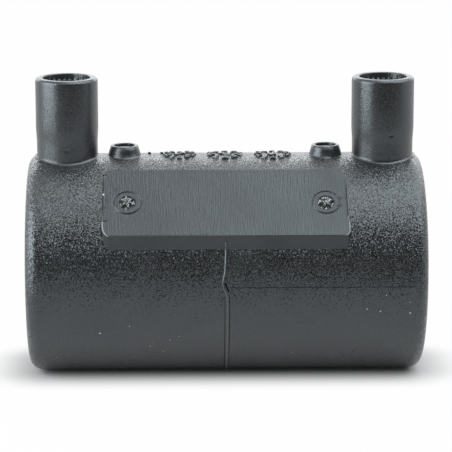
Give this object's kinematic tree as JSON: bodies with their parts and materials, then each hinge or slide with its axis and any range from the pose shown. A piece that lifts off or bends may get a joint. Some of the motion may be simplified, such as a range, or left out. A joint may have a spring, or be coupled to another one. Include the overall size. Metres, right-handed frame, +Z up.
{
  "type": "electrofusion coupler",
  "caption": "Black plastic socket coupler for pipe ends, with upright shrouded contact pins, fusion indicators, a sloping label plate and a heating wire set in its bore.",
  "frame": {"origin": "centre of the bore, half way along it", "axes": "+X along the pipe axis, +Z up along the terminals, label plate towards -Y"},
  "size_m": [0.0794, 0.0444, 0.06],
  "materials": {
    "black_polyethylene": "spark-eroded grain on the barrel, satin shrouds, brushed label plate",
    "resistance_wire": "bright drawn copper-nickel wire, slightly dulled",
    "pin_brass": "turned, bright",
    "indicator_plastic": "satin"
  },
  "bodies": {
    "root": {"coupler_body": "black_polyethylene", "heating_wire": "resistance_wire", "contact_pin_left": "pin_brass", "contact_pin_right": "pin_brass", "fusion_indicator_left": "indicator_plastic", "fusion_indicator_right": "indicator_plastic"}
  },
  "joints": []
}
